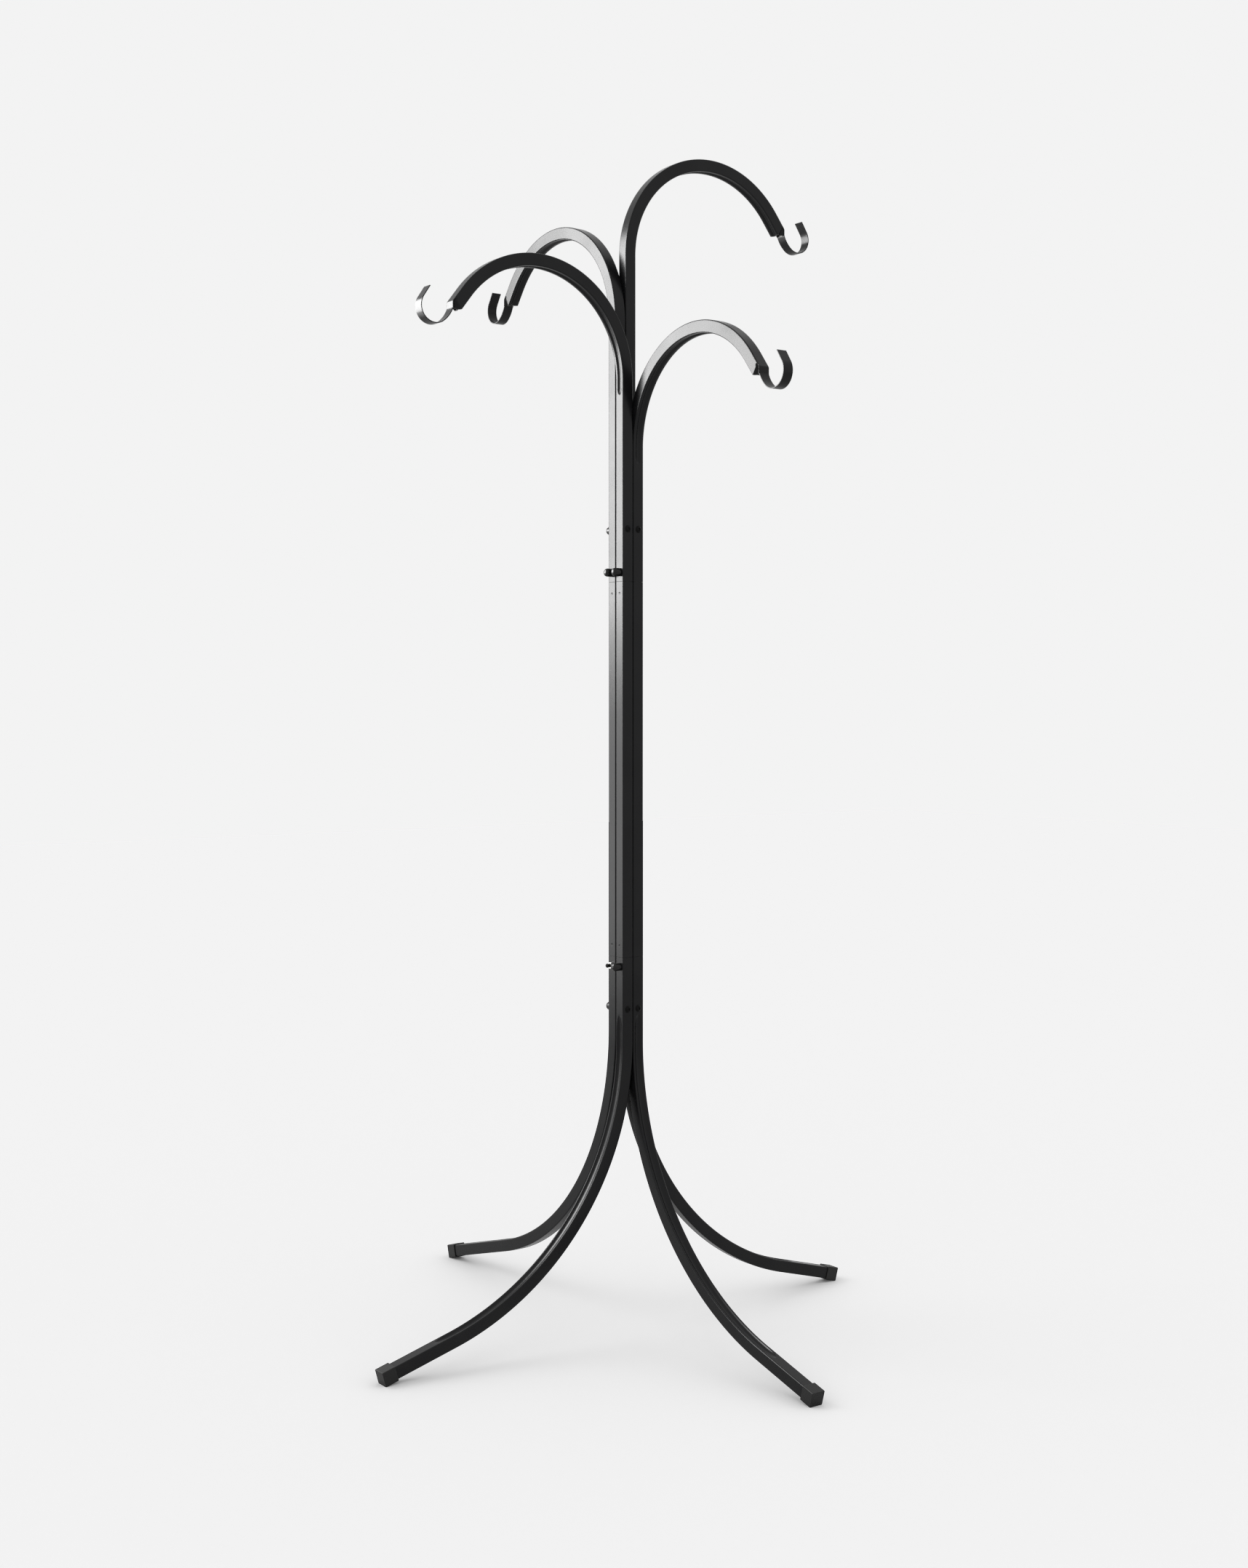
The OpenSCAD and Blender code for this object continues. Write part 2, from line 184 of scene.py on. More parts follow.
# How finely a section is cut: spans along its +b, -a, -b and +a sides. A middle tube's dimples are on its
# two b sides or on its two a sides.
ARM_SPANS = (22, 6, 22, 22)
LEG_SPANS = (3, 3, 3, 22)
DIMPLED_B_SPANS = (24, 3, 24, 3)
DIMPLED_A_SPANS = (3, 24, 3, 24)
FOOT_SPANS = (4, 4, 4, 4)
HOOK_SPANS = (2, 8, 2, 8)

# How finely the length is cut: the largest chord error in a bend and the shortest step near a groove's
# end, from which the steps grow with the distance. A station within NEAR_MARK of a bend's end is at it.
# Rings lie on both sides of a dimple's middle.
FACE_STEPS = {"chord": 0.03, "fine": 1.2}
BORE_STEPS = {"chord": 0.3, "fine": 4.0}
LONGEST_STEP = 60.0
STEP_GROWTH = 0.5
FINE_REACH = 2.0
NEAR_MARK = 0.1
END_RINGS = 30
DIMPLE_RINGS = 8
RINGS_PER_DIMPLE = 12

# How finely turned pieces are cut
TURN_STEPS = 72
PITCH_STEPS = 8
DOME_STEPS = 8

# Lengths below this count as none
TINY = 1e-6


def leg_top(tail):
    """Height at which a leg's bend starts, so that the cap on its tail stands on the floor."""
    bend = (LEG_RADIUS + FOOT / 2) * math.sin(LEG_ANGLE)
    return bend + (tail + FOOT_END) * math.cos(LEG_ANGLE) - FOOT_CUT


LOWER = leg_top(max(LEG_TAIL.values())) + LEG_STRAIGHT
UPPER = LOWER + POST + 2 * SEAM


# Meshes

def to_side(points, side):
    """Points around a tube's own axis, in millimetres, put on its side of the pole, in metres."""
    p = np.asarray(points, float) + (PITCH, PITCH, 0)
    c, s = [(1, 0), (0, 1), (-1, 0), (0, -1)][side]
    return np.stack([c * p[:, 0] - s * p[:, 1], s * p[:, 0] + c * p[:, 1], p[:, 2]], 1) / 1000


def make_mesh(name, points, faces, smooth_angle=40):
    """Smooth mesh, whose large flat faces keep flat shading next to their narrow rounded edges."""
    mesh = bpy.data.meshes.new(name)
    mesh.from_pydata([tuple(map(float, p)) for p in points], [], [tuple(map(int, f)) for f in faces])
    mesh.validate()
    mesh.update()
    ob = bpy.data.objects.new(name, mesh)
    bpy.context.scene.collection.objects.link(ob)
    mesh.shade_smooth()
    mesh.set_sharp_from_angle(angle=math.radians(smooth_angle))
    ob.modifiers.new("flat_faces_stay_flat", "WEIGHTED_NORMAL").keep_sharp = True
    return ob


def skin(rows, looped=False):
    """Points and faces of a surface through rings.

    A looped surface goes back to its first ring, and any other is closed by a face at each end."""
    n = len(rows[0])
    count = len(rows)
    faces = []
    for i in range(count if looped else count - 1):
        for j in range(n):
            k = (j + 1) % n
            m = (i + 1) % count
            faces.append((i * n + j, i * n + k, m * n + k, m * n + j))
    if not looped:
        faces.append(tuple(reversed(range(n))))
        faces.append(tuple((count - 1) * n + j for j in range(n)))
    return np.concatenate(rows), faces


def turned_over(faces):
    return [f[::-1] for f in faces]


def rounded_ring(half_a, half_b, corner, spans, arc=6):
    """A rounded rectangle of (a, b) points, anticlockwise, with spans on its +b, -a, -b and +a sides."""
    corners = [(1, 1), (-1, 1), (-1, -1), (1, -1)]
    arcs = []
    for quarter, (sign_a, sign_b) in enumerate(corners):
        t = (quarter + np.linspace(0, 1, arc + 1)) * math.pi / 2
        middle = np.array([sign_a * (half_a - corner), sign_b * (half_b - corner)])
        arcs.append(middle + corner * np.stack([np.cos(t), np.sin(t)], 1))
    points = []
    for quarter in range(4):
        start, stop = arcs[quarter][-1], arcs[(quarter + 1) % 4][0]
        share = np.linspace(0, 1, spans[quarter] + 1)[1:-1, None]
        points += [arcs[quarter], start + (stop - start) * share]
    return np.concatenate(points)


def tube_ring(inset, spans):
    """Section of the tube's wall at a depth of inset: 0 is its outer face and WALL is its bore."""
    return rounded_ring(HALF - inset, HALF - inset, max(CORNER - inset, BORE_CORNER), spans)


def eased(x):
    """Smooth step from 0 to 1."""
    x = np.clip(x, 0, 1)
    return x * x * (3 - 2 * x)


def rounding(radius, steps=4):
    """A rounded edge as (way from the cut, inset) pairs, from the cut to the face."""
    turns = [math.pi / 2 * k / steps for k in range(steps + 1)]
    return [(radius * (1 - math.cos(t)), radius * (1 - math.sin(t))) for t in turns]


class Axis:
    """Axis of a bent tube: straight for rise, then a turn towards +a, then a straight tail."""

    def __init__(self, rise, radius, angle, tail, groove=None, groove_past=0.0):
        self.rise = rise
        self.radius = radius
        self.angle = angle
        self.bend_end = rise + radius * angle
        self.length = self.bend_end + tail
        self.groove = groove
        self.groove_ends = (rise - GROOVE_RUN, self.bend_end + groove_past) if groove else ()

    def at(self, s):
        turn = min(max((s - self.rise) / self.radius, 0.0), self.angle)
        past = max(s - self.bend_end, 0.0)
        x = self.radius * (1 - math.cos(turn)) + past * math.sin(turn)
        z = min(s, self.rise) + self.radius * math.sin(turn) + past * math.cos(turn)
        return x, z, turn

    def pressed(self, s, shape):
        """How far the groove is pressed in at distance s, for each point of a section."""
        if not self.groove:
            return 0 * shape[:, 0]
        half_width = self.groove["width"] / 2
        depth = self.groove["depth"]
        radius = (half_width ** 2 + depth ** 2) / (2 * depth)
        start, stop = self.groove_ends
        past = half_width / self.groove["fade"] * max(start - s, s - stop, 0.0)
        room = np.maximum(radius ** 2 - shape[:, 1] ** 2 - past ** 2, 0)
        deep = np.sqrt(room) - (radius - depth)
        soft = 0.5 * (deep + np.sqrt(deep ** 2 + GROOVE_LIP ** 2)) - GROOVE_LIP / 2
        on_face = eased((FACE_EDGE - np.abs(shape[:, 1])) / FACE_BLEND)
        return np.where(shape[:, 0] > 0, np.maximum(soft, 0) * on_face, 0)

    def ring(self, shape, s):
        x, z, turn = self.at(s)
        a = shape[:, 0] - self.pressed(s, shape)
        return np.stack([x + a * math.cos(turn), shape[:, 1], z - a * math.sin(turn)], 1)

    def stations(self, start, stop, chord, fine):
        """Distances from start to stop, finer near a groove's ends and in the bend."""
        marks = [self.rise, self.bend_end, stop]
        out = [start]
        while out[-1] < stop - TINY:
            s = out[-1]
            bent = self.rise - NEAR_MARK < s < self.bend_end - NEAR_MARK
            step = math.sqrt(8 * self.radius * chord) if bent else LONGEST_STEP
            for end in self.groove_ends:
                away = abs(s - end) - FINE_REACH - self.groove["fade"]
                step = min(step, max(fine, away * STEP_GROWTH))
            out.append(min([s + step] + [m for m in marks if m > s + TINY]))
        return out


CUT_LIP = rounding(CUT_EDGE)


def tube_rows(axis, section, far_end=(), far_run=0.0):
    """Rings round the wall of a tube: near cut, outer face, far cut, and back along the bore.

    Where the far end isn't a plain cut, far_end holds the rings of the last far_run of the length. The
    second value is how many of the last rings lie in the bore."""
    face_start = CUT_LIP[-1][0]
    face_stop = axis.length - (far_run or face_start)
    rows = [axis.ring(section(inset), s) for s, inset in CUT_LIP]
    rows += [axis.ring(section(0), s) for s in axis.stations(face_start, face_stop, **FACE_STEPS)[1:]]
    if far_end:
        rows += far_end
        bore_stop = face_stop
    else:
        rows += [axis.ring(section(inset), axis.length - s) for s, inset in reversed(CUT_LIP[:-1])]
        rows.append(axis.ring(section(WALL - BORE_EDGE), axis.length))
        bore_stop = axis.length - BORE_EDGE
    bore = axis.stations(BORE_EDGE, bore_stop, **BORE_STEPS)
    rows += [axis.ring(section(WALL), s) for s in reversed(bore)]
    rows.append(axis.ring(section(WALL - BORE_EDGE), 0.0))
    return rows, len(bore) + (END_RINGS if far_end else 0)


# The end of an arm, where the outer wall turns down and runs on as the hook

class Strip:
    """Centre line of the hook's strip, from the end of the arm's outer wall."""

    def __init__(self, axis):
        x, z, turn = axis.at(axis.length)
        a = -HALF + WALL / 2
        self.x = [x + a * math.cos(turn)]
        self.z = [z - a * math.sin(turn)]
        self.turn = [turn]
        for kind, length, *angle in HOOK:
            if kind == "turn":
                self.turn_by(length, math.radians(angle[0]))
            else:
                self.run(length)
        self.x, self.z, self.turn = map(np.array, (self.x, self.z, self.turn))
        steps = np.hypot(np.diff(self.x), np.diff(self.z))
        self.s = np.concatenate([[0], np.cumsum(steps)])
        self.lowest = int(np.argmin(self.z))
        self.upright = self.x[np.argmax(self.turn)]

    def leaves(self, axis):
        """Distance at which the strip is still just inside the end of the arm."""
        x, z, turn = axis.at(axis.length)
        inside = z - HALF * math.sin(turn) + HOOK_INSIDE
        return float(np.interp(-inside, -self.z[:self.lowest], self.s[:self.lowest]))

    def swing(self, z):
        """How far the strip has moved out from upright at height z, above its round bottom."""
        falling = slice(None, self.lowest)
        out = np.interp(-z, -self.z[falling], self.x[falling]) - self.upright
        return np.maximum(out, 0)

    def add(self, x, z, turn):
        self.x.append(x)
        self.z.append(z)
        self.turn.append(turn)

    def run(self, length, steps=4):
        step = length / steps
        for _ in range(steps):
            turn = self.turn[-1]
            self.add(self.x[-1] + step * math.sin(turn), self.z[-1] + step * math.cos(turn), turn)

    def turn_by(self, radius, angle, degrees_per_step=4, fewest=6):
        steps = max(fewest, round(abs(math.degrees(angle)) / degrees_per_step))
        x, z, start = self.x[-1], self.z[-1], self.turn[-1]
        way = math.copysign(radius, angle)
        for k in range(1, steps + 1):
            turn = start + angle * k / steps
            across = x + way * (math.cos(start) - math.cos(turn))
            self.add(across, z + way * (math.sin(turn) - math.sin(start)), turn)

    def at(self, s):
        return tuple(np.interp(s, self.s, v) for v in (self.x, self.z, self.turn))

    def ring(self, s, inset, depth):
        x, z, turn = self.at(s)
        shape = rounded_ring(WALL / 2 - depth, HOOK_WIDTH / 2 - inset, HOOK_CORNER, HOOK_SPANS, arc=3)
        a = shape[:, 0]
        return np.stack([x + a * math.cos(turn), shape[:, 1], z - a * math.sin(turn)], 1)


def lines_to_cut(bend, a, turn, cut, raised, on_side):
    """Where each line along the tube bends and where it ends, at a cut that arches up in the side walls.

    The outer wall falls straight down from the kink and the concave wall runs on."""
    from_outside = (a + HALF) * abs(math.cos(turn))
    arch = ARCH_HEIGHT * np.exp(-((from_outside - ARCH_MIDDLE) / ARCH_SPREAD) ** 2) * on_side
    along = np.array([math.sin(turn), math.cos(turn)]) / abs(math.cos(turn))
    upright = eased((UPRIGHT_START - a) / UPRIGHT_BLEND)[:, None]
    falls = upright * np.array([0, -1]) + (1 - upright) * along
    drop = (bend[:, 1] - cut - raised - arch)[:, None]
    bend = bend + np.minimum(drop, 0) * along
    return bend, bend + np.maximum(drop, 0) * falls


def round_soft_kink(begin, bend, end, share):
    """Points at a share of the way from begin over bend to end."""
    first = np.linalg.norm(bend - begin, axis=1)[:, None]
    second = np.maximum(np.linalg.norm(end - bend, axis=1), TINY)[:, None]
    soft = np.minimum(KINK_SOFT, second)
    way = share * (first + second)
    v = np.clip((way - first + soft) / (2 * soft), 0, 1)
    leave = bend - (bend - begin) * soft / first
    join = bend + (end - bend) * soft / second
    curve = (1 - v) ** 2 * leave + 2 * v * (1 - v) * bend + v ** 2 * join
    before = begin + (bend - begin) * way / first
    after = bend + (end - bend) * (way - first) / second
    return np.where(v <= 0, before, np.where(v >= 1, after, curve))


def dented(height, from_wall):
    """How far a side wall is pushed in: a thumb-shaped dent that grows down to the cut."""
    grow = np.clip((DENT_TOP - height) / DENT_TOP, 0, 1)
    half_dent = DENT_HALF_TOP + DENT_HALF_GROWTH * grow
    across = np.clip((from_wall - DENT_FROM_WALL) / half_dent - 1, -1, 1)
    return DENT_DEPTH * np.sqrt(grow) * (1 - across ** 2) ** 2


def arm_end(axis, section, strip, share, inset, raised):
    """Ring on the end of an arm: share 0 is on its last straight and share 1 is its level cut."""
    shape = section(inset)
    a = shape[:, 0] - axis.pressed(axis.length, shape)
    b = shape[:, 1]
    on_side = eased((np.abs(b) - SIDE_START) / SIDE_BLEND)
    x, z, turn = axis.at(axis.length)
    cut = z - HALF * math.sin(turn)

    # The kink is where the outer wall reaches the upright face of the strip
    down = strip.upright + WALL / 2
    past = (down - x + HALF * math.cos(turn)) / math.sin(turn)
    x += past * math.sin(turn)
    z += past * math.cos(turn)
    begin = axis.ring(shape, axis.length - END_RUN)[:, [0, 2]]
    bend = np.stack([x + a * math.cos(turn), z - a * math.sin(turn)], 1)
    bend, end = lines_to_cut(bend, a, turn, cut, raised, on_side)
    place = round_soft_kink(begin, bend, end, share)

    # Below the kink the side walls are pushed in, and the outer wall follows the strip back out
    height = place[:, 1] - cut
    kink_height = z + HALF * math.sin(turn) - cut
    slanted = np.maximum(height - kink_height, 0) * abs(math.tan(turn))
    dent = dented(height, down - place[:, 0] - slanted) * on_side
    swing = strip.swing(place[:, 1]) * eased((-a - SWING_START) / SWING_BLEND) * (height < SWING_TOP)
    return np.stack([place[:, 0] + swing, b - np.sign(b) * dent, place[:, 1]], 1)


def arm_end_rows(axis, section, strip):
    """Rings from an arm's last straight to its cut, round the cut's edge and back in the bore."""
    shares = np.linspace(0, 1, END_RINGS + 1)
    rows = [arm_end(axis, section, strip, share, 0, 0) for share in shares[1:-1]]
    rows += [arm_end(axis, section, strip, 1, inset, s) for s, inset in reversed(CUT_LIP)]
    rows.append(arm_end(axis, section, strip, 1, WALL - BORE_EDGE, 0))
    return rows + [arm_end(axis, section, strip, share, WALL, BORE_EDGE) for share in shares[:0:-1]]


def strip_rows(strip, start):
    """Rings along the hook, from inside the wall that it leaves to its square-cut tip."""
    tip = strip.s[-1] - HOOK_TIP_EDGE
    edge = rounding(HOOK_TIP_EDGE)
    rows = [strip.ring(start, 0, -HOOK_PROUD), strip.ring(start + HOOK_PROUD_RUN, 0, -HOOK_PROUD)]
    rows += [strip.ring(s, 0, 0) for s in strip.s if start + HOOK_CLEAR < s < tip]
    return rows + [strip.ring(tip + (HOOK_TIP_EDGE - s), inset, inset) for s, inset in reversed(edge)]


def above_seam(points, seam):
    """Points of a tube that starts at the seam's height."""
    points = points.copy()
    points[:, 2] += seam
    return points


def bore_faces(rows, bore):
    """Faces between the rings in the bore, by number."""
    n = len(rows[0])
    last = (len(rows) - 1) * n
    return range(last - bore * n, last)


def arm(side):
    """Upper tube with its hook, and the faces of its bore."""
    axis = Axis(ARM_RISE[side], ARM_RADIUS, ARM_ANGLE, ARM_TAIL, ARM_GROOVE, ARM_GROOVE_PAST)
    strip = Strip(axis)
    section = partial(tube_ring, spans=ARM_SPANS)
    rows, bore = tube_rows(axis, section, arm_end_rows(axis, section, strip), END_RUN)
    points, faces = skin(rows, looped=True)
    hook, hook_faces = skin(strip_rows(strip, strip.leaves(axis)))
    faces += [tuple(i + len(points) for i in f) for f in hook_faces]
    points = above_seam(np.concatenate([points, hook]), UPPER)
    ob = make_mesh(f"arm_skin_{SIDE_NAMES[side]}", to_side(points, side), faces)
    return ob, bore_faces(rows, bore)


def leg(side):
    """Lower tube, and the faces of its bore."""
    tail = LEG_TAIL[side]
    axis = Axis(LOWER - leg_top(tail), LEG_RADIUS, LEG_ANGLE, tail, LEG_GROOVE)
    rows, bore = tube_rows(axis, partial(tube_ring, spans=LEG_SPANS))
    points, faces = skin(rows, looped=True)
    points[:, 2] = LOWER - points[:, 2]
    ob = make_mesh(f"leg_skin_{SIDE_NAMES[side]}", to_side(points, side), turned_over(faces))
    return ob, bore_faces(rows, bore)


def post(side):
    """Middle tube, with a punched dimple near each end on its two sides that face along Y."""
    b_along_y = side in (RIGHT, LEFT)
    section = partial(tube_ring, spans=DIMPLED_B_SPANS if b_along_y else DIMPLED_A_SPANS)
    dimples = [DIMPLE_DROP, POST - DIMPLE_DROP]
    near = range(-DIMPLE_RINGS, DIMPLE_RINGS + 1)
    marks = [z + k * DIMPLE_D / RINGS_PER_DIMPLE for z in dimples for k in near]

    def ring(inset, z):
        points = section(inset)
        cross, out = points.T if b_along_y else points.T[::-1]
        for middle in dimples:
            room = 1 - (cross ** 2 + (z - middle) ** 2) / (DIMPLE_D / 2) ** 2
            out -= np.sign(out) * DIMPLE_DEPTH * eased(room)
        return np.column_stack([points, np.full(len(points), z)])

    rows = [ring(inset, s) for s, inset in CUT_LIP]
    rows += [ring(0, z) for z in marks]
    rows += [ring(inset, POST - s) for s, inset in reversed(CUT_LIP)]
    rows += [ring(WALL, POST), ring(WALL, 0)]
    points, faces = skin(rows, looped=True)
    points = above_seam(points, LOWER + SEAM)
    return make_mesh(f"post_skin_{SIDE_NAMES[side]}", to_side(points, side), faces)


def cut_at_floor(ob):
    """Cuts off what is under the floor and closes the cut with a flat face."""
    shape = bmesh.new()
    shape.from_mesh(ob.data)
    geometry = shape.verts[:] + shape.edges[:] + shape.faces[:]
    floor_plane = {"plane_co": (0, 0, 0), "plane_no": (0, 0, -1)}
    cut = bmesh.ops.bisect_plane(shape, geom=geometry, clear_outer=True, **floor_plane)
    bmesh.ops.holes_fill(shape, edges=[e for e in cut["geom_cut"] if isinstance(e, bmesh.types.BMEdge)])
    shape.to_mesh(ob.data)
    shape.free()


def foot_cap(side, smooth_angle=30):
    """Moulded cap on a leg's end, cut level where it stands on the floor."""
    tail = LEG_TAIL[side]
    axis = Axis(LOWER - leg_top(tail), LEG_RADIUS, LEG_ANGLE, tail + FOOT_END)
    mouth = axis.length - FOOT_END - FOOT_GRIP
    half = FOOT / 2

    def ring(inset, s):
        corner = max(FOOT_CORNER - inset * FOOT_CORNER_LOSS, FOOT_LEAST_CORNER)
        return axis.ring(rounded_ring(half - inset, half - inset, corner, FOOT_SPANS, arc=4), s)

    edge = rounding(FOOT_EDGE)
    rows = [ring(FOOT_WALL, mouth + FOOT_MOUTH_DEPTH), ring(FOOT_WALL, mouth + FOOT_MOUTH_EDGE)]
    rows += [ring(FOOT_WALL - FOOT_MOUTH_EDGE, mouth)]
    rows += [ring(inset, mouth + s) for s, inset in edge]
    rows += [ring(0, axis.length - FOOT_END)]
    rows += [ring(inset, axis.length - s) for s, inset in reversed(edge)]
    points, faces = skin(rows)
    points[:, 2] = LOWER - points[:, 2]
    name = f"foot_cap_skin_{SIDE_NAMES[side]}"
    ob = make_mesh(name, to_side(points, side), turned_over(faces), smooth_angle)
    cut_at_floor(ob)
    ob.data.set_sharp_from_angle(angle=math.radians(smooth_angle))
    return ob


# Turned and hexagonal pieces

ROUND = np.linspace(0, 2 * math.pi, TURN_STEPS, endpoint=False)


def hexagon(across):
    """Radius of a hexagon at each step of a turn."""
    return across / 2 / np.cos(ROUND % (math.pi / 3) - math.pi / 6)


def lathe(name, rows, place, looped=False, smooth_angle=28):
    """Surface through (height, radius) rows, where a radius may differ for each step of a turn."""
    rings = []
    for z, radius in rows:
        radius = radius + 0 * ROUND
        rings.append(np.stack([radius * np.cos(ROUND), radius * np.sin(ROUND), z + 0 * ROUND], 1))
    points, faces = skin(rings, looped)
    return make_mesh(name, place(points) / 1000, faces, smooth_angle)


def on_x(z, y, points):
    """Puts what is drawn along +Z on a bolt's axis at height z that runs along +X."""
    return np.stack([points[:, 2], points[:, 1] + y, z - points[:, 0]], 1)


def on_y(z, x, points):
    """Puts what is drawn along +Z on a bolt's axis at height z that runs along +Y."""
    return np.stack([points[:, 0] + x, points[:, 2], z - points[:, 1]], 1)


def hung(place):
    """A place turned over: what is drawn upwards hangs from the pair's face away from the head."""
    return lambda points: place(points * (1, -1, -1))


def thread_rows(start, length):
    """Chamfered tip, and a thread that runs one pitch past length."""
    tip = BOLT_D / 2 - TIP_CHAMFER
    rows = [(start, tip)]
    for k in range(int(length / THREAD_PITCH * PITCH_STEPS) + PITCH_STEPS):
        z = start + THREAD_START + k * THREAD_PITCH / PITCH_STEPS
        wave = np.abs((z / THREAD_PITCH - ROUND / (2 * math.pi)) % 1 - 0.5) * 2
        cut = eased((1 + 2 * THREAD_FLAT) * wave - THREAD_FLAT)
        rows.append((z, np.minimum(BOLT_D / 2 - THREAD_DEPTH * cut, tip + (z - start) * TIP_SLOPE)))
    return rows


def head_rows(foot):
    """Button head that stands on foot, from its rim over its dome and small land to the socket."""
    top = foot + HEAD_H
    ball = ((HEAD_D / 2) ** 2 + HEAD_H ** 2) / (2 * HEAD_H)
    rim = math.asin(HEAD_D / 2 / ball)
    land = math.asin(LAND_R / ball)
    rows = [(foot + s, HEAD_D / 2 - inset) for s, inset in HEAD_RIM]
    for k in range(1, DOME_STEPS + 1):
        t = rim + (land - rim) * k / DOME_STEPS
        rise = HEAD_EDGE * (1 - k / DOME_STEPS)
        rows.append((top - ball + ball * math.cos(t) + rise, ball * math.sin(t)))
    level = rows[-1][0]
    rows += [(level + LAND_RISE, LAND_R - HEAD_EDGE), (level + LAND_RISE, SOCKET / 2 + MOUTH_LAND)]
    for k in range(MOUTH_STEPS):
        cone = SOCKET / 2 + MOUTH_CONE - MOUTH_STEP_IN * k
        rows.append((level - MOUTH_STEP_DOWN * k, np.maximum(hexagon(SOCKET), cone)))
    bottom = top - SOCKET_DEPTH
    return rows + [(bottom, hexagon(SOCKET)), (bottom - SOCKET_POINT, SOCKET_POINT)]


def bolt(name, place):
    """Button head bolt whose end is threaded past the pair of tubes that it clamps."""
    past_pair = NUT_H + PAST_NUT
    rows = thread_rows(-PAIR / 2 - past_pair, past_pair)
    rows += [(rows[-1][0] + THREAD_END, BOLT_D / 2), (PAIR / 2, BOLT_D / 2)]
    return lathe(name, rows + head_rows(PAIR / 2), place)


def hex_nut(name, place):
    """Hexagon nut whose corners are chamfered at both ends."""
    foot = PAIR / 2
    top = foot + NUT_H
    bore = BOLT_D / 2 + THREAD_GAP
    cone = [(NUT_STEP_UP * k, NUT_AF / 2 - NUT_CONE + NUT_STEP_OUT * k) for k in range(NUT_STEPS)]
    edge = [(s, np.minimum(hexagon(NUT_AF), radius)) for s, radius in cone]
    rows = [(foot, bore)]
    rows += [(foot + s, radius) for s, radius in edge]
    rows += [(top - s, radius) for s, radius in reversed(edge)]
    rows += [(top, bore + NUT_MOUTH_WIDTH), (top - NUT_MOUTH_DEPTH, bore)]
    return lathe(name, rows, hung(place), looped=True)


def nut_cap(name, place):
    """Moulded cap: a thin lip round its mouth and a round rim at its closed end."""
    depth = NUT_H + PAST_NUT + CAP_AIR
    length = depth + CAP_END
    bore = NUT_AF / math.cos(math.pi / 6) / 2 + CAP_GAP
    rows = [(depth, BORE_DISC_R), (depth, bore), (CAP_EDGE, bore), (0.0, bore + CAP_MOUTH)]
    rows += [(s, CAP_D / 2 - inset) for s, inset in rounding(CAP_EDGE)]
    rows += [(length - CAP_ROUND, CAP_D / 2)]
    for k in range(1, DOME_STEPS + 1):
        t = math.pi / 2 * k / DOME_STEPS
        rows.append((length - CAP_ROUND * (1 - math.sin(t)), CAP_D / 2 - CAP_ROUND * (1 - math.cos(t))))
    rows.append((length, END_DISC_R))
    return lathe(name, [(PAIR / 2 + z, radius) for z, radius in rows], hung(place))


# Materials

def add(tree, kind, **values):
    """A new node with its settings."""
    node = tree.nodes.new(kind)
    for key, value in values.items():
        setattr(node, key, value)
    return node


def set_inputs(node, **values):
    """Numbers and colours on a node's inputs, whose names have _ for a space here."""
    for key, value in values.items():
        node.inputs[key.replace("_", " ")].default_value = value


def new_material(name):
    mat = bpy.data.materials.new(name)
    mat.use_nodes = True
    tree = mat.node_tree
    bsdf = next(n for n in tree.nodes if n.type == "BSDF_PRINCIPLED")
    return mat, tree, bsdf


def noise(tree, coords, scale, detail, roughness):
    node = add(tree, "ShaderNodeTexNoise")
    set_inputs(node, Scale=scale, Detail=detail, Roughness=roughness)
    tree.links.new(coords, node.inputs["Vector"])
    return node.outputs["Fac"]


def ramp(tree, value, low, high, to_low, to_high):
    node = add(tree, "ShaderNodeMapRange")
    set_inputs(node, From_Min=low, From_Max=high, To_Min=to_low, To_Max=to_high)
    tree.links.new(value, node.inputs["Value"])
    return node.outputs["Result"]


def mix_colour(tree, value, one, two):
    node = add(tree, "ShaderNodeMix", data_type="RGBA")
    tree.links.new(value, node.inputs["Factor"])
    set_inputs(node, A=(*one, 1), B=(*two, 1))
    return node.outputs["Result"]


# A finish drifts over some centimetres, in colour from its base to its worn one and in gloss, between
# the low and high values of a broad noise, and has a fine grain as relief
DRIFT = {"scale": 14, "detail": 3, "roughness": 0.55}
GRAIN = {"detail": 5, "roughness": 0.6}
COLOUR_DRIFT = {"low": 0.35, "high": 0.7}
GLOSS_DRIFT = {"low": 0.3, "high": 0.7}
SMOOTHER, ROUGHER = 0.03, 0.04
RELIEF = 0.0002


def finish(name, base, worn, rough, spec, grain, bump, metallic=0.0):
    """Material whose grain is a noise scale and whose bump is the grain's strength."""
    mat, tree, bsdf = new_material(name)
    coords = add(tree, "ShaderNodeNewGeometry").outputs["Position"]
    broad = noise(tree, coords, **DRIFT)
    fine = noise(tree, coords, scale=grain, **GRAIN)
    wear = ramp(tree, broad, to_low=0, to_high=1, **COLOUR_DRIFT)
    gloss = ramp(tree, broad, to_low=rough - SMOOTHER, to_high=rough + ROUGHER, **GLOSS_DRIFT)
    tree.links.new(mix_colour(tree, wear, base, worn), bsdf.inputs["Base Color"])
    tree.links.new(gloss, bsdf.inputs["Roughness"])
    set_inputs(bsdf, Specular_IOR_Level=spec, Metallic=metallic)
    relief = add(tree, "ShaderNodeBump")
    set_inputs(relief, Strength=bump, Distance=RELIEF)
    tree.links.new(fine, relief.inputs["Height"])
    tree.links.new(relief.outputs["Normal"], bsdf.inputs["Normal"])
    return mat


